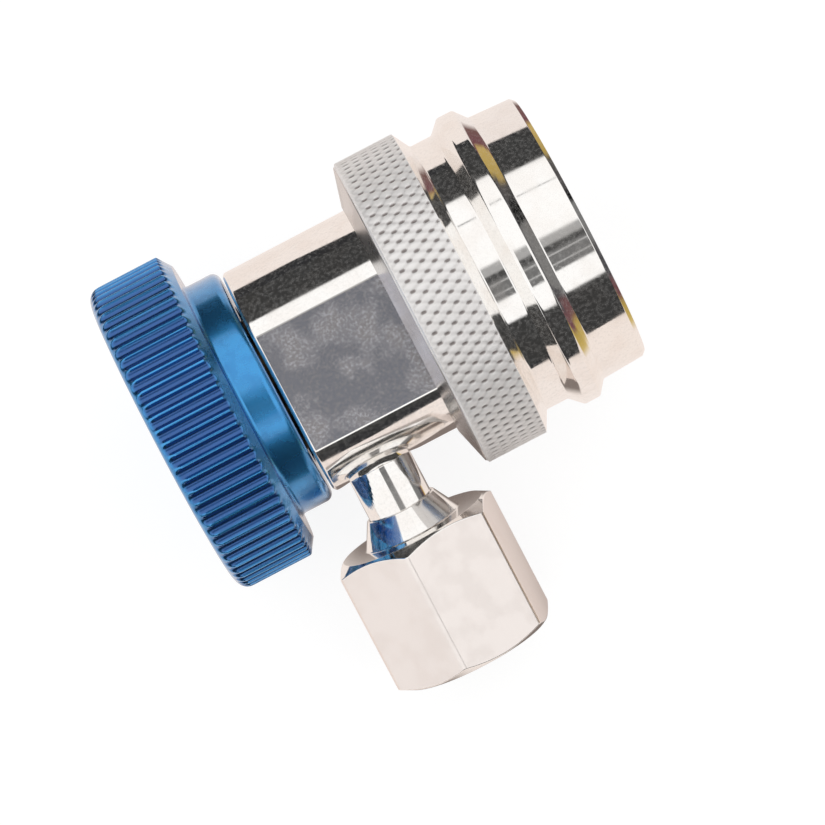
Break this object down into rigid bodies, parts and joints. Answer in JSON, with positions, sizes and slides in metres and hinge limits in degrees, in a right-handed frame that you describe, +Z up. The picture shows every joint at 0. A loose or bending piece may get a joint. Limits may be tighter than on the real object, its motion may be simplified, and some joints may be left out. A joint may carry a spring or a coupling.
{
  "type": "refrigerant service coupler",
  "caption": "Quick coupler for a low-side refrigerant service port, with a ball-lock sleeve, a fluted valve knob and a swivel nut for a hose.",
  "frame": {"origin": "on the main axis, where the socket's straight bore begins behind its lead-in", "axes": "+X along the main axis out of the socket, +Z up with the coupler lying on its knob, ring and nut, and the nut towards -Y"},
  "size_m": [0.0494, 0.0541, 0.0354],
  "materials": {
    "polished_nickel": "turned brass, bright nickel plated",
    "satin_nickel": "hexagon brass, nickel plated, satin facets",
    "blue_anodised": "blue anodised, glossy",
    "plain_brass": "turned, bare",
    "bearing_steel": "ground steel",
    "spring_steel": "drawn and pressed steel",
    "black_rubber": "moulded, matt",
    "white_plastic": "low-friction plastic, matt"
  },
  "bodies": {
    "housing": {"body": "polished_nickel", "locking_balls": "bearing_steel", "snap_ring": "spring_steel", "sleeve_spring": "spring_steel", "socket_seal": "black_rubber", "guide_bush": "plain_brass", "thrust_washer": "white_plastic", "gland_nut": "plain_brass", "gland_washer": "white_plastic", "spindle_seal": "black_rubber", "post": "polished_nickel", "post_washer": "white_plastic", "hose_gasket": "black_rubber"},
    "valve_knob": {"knob": "blue_anodised", "knob_washer": "spring_steel", "knob_screw": "bearing_steel", "spindle": "plain_brass"},
    "valve_pin": {"depressor": "plain_brass"},
    "lock_washer": {"spring_washer": "spring_steel"},
    "lock_sleeve": {"sleeve": "polished_nickel"},
    "slip_washer": {"nut_washer": "white_plastic"},
    "hose_nut": {"nut": "satin_nickel"}
  },
  "joints": [
    {"name": "knob_turn", "type": "hinge", "parent": "housing", "child": "valve_knob", "pos_m": [-0.034, 0, 0], "axis": [1, 0, 0], "range_deg": [0, 630]},
    {"name": "depressor_slide", "type": "slide", "parent": "housing", "child": "valve_pin", "axis": [1, 0, 0], "range_m": [0, 0.00351]},
    {"name": "sleeve_slide", "type": "slide", "parent": "housing", "child": "lock_washer", "axis": [1, 0, 0], "range_m": [-0.0042, 0], "stiffness_N_per_m": 1500, "springref_m": 0.004, "deforming": ["sleeve_spring"]},
    {"name": "sleeve_spin", "type": "hinge", "parent": "lock_washer", "child": "lock_sleeve", "pos_m": [-0.008, 0, 0], "axis": [1, 0, 0], "continuous": true},
    {"name": "nut_slide", "type": "slide", "parent": "housing", "child": "slip_washer", "axis": [0, 0.9697, 0.2445], "range_m": [0, 0.0022]},
    {"name": "nut_spin", "type": "hinge", "parent": "slip_washer", "child": "hose_nut", "pos_m": [-0.0286, -0.02715, -0.00685], "axis": [0, -0.9697, -0.2445], "continuous": true}
  ],
  "couplings": [
    {"joint": "depressor_slide", "follows": "knob_turn", "m_per_rad": 0.00031831}
  ]
}
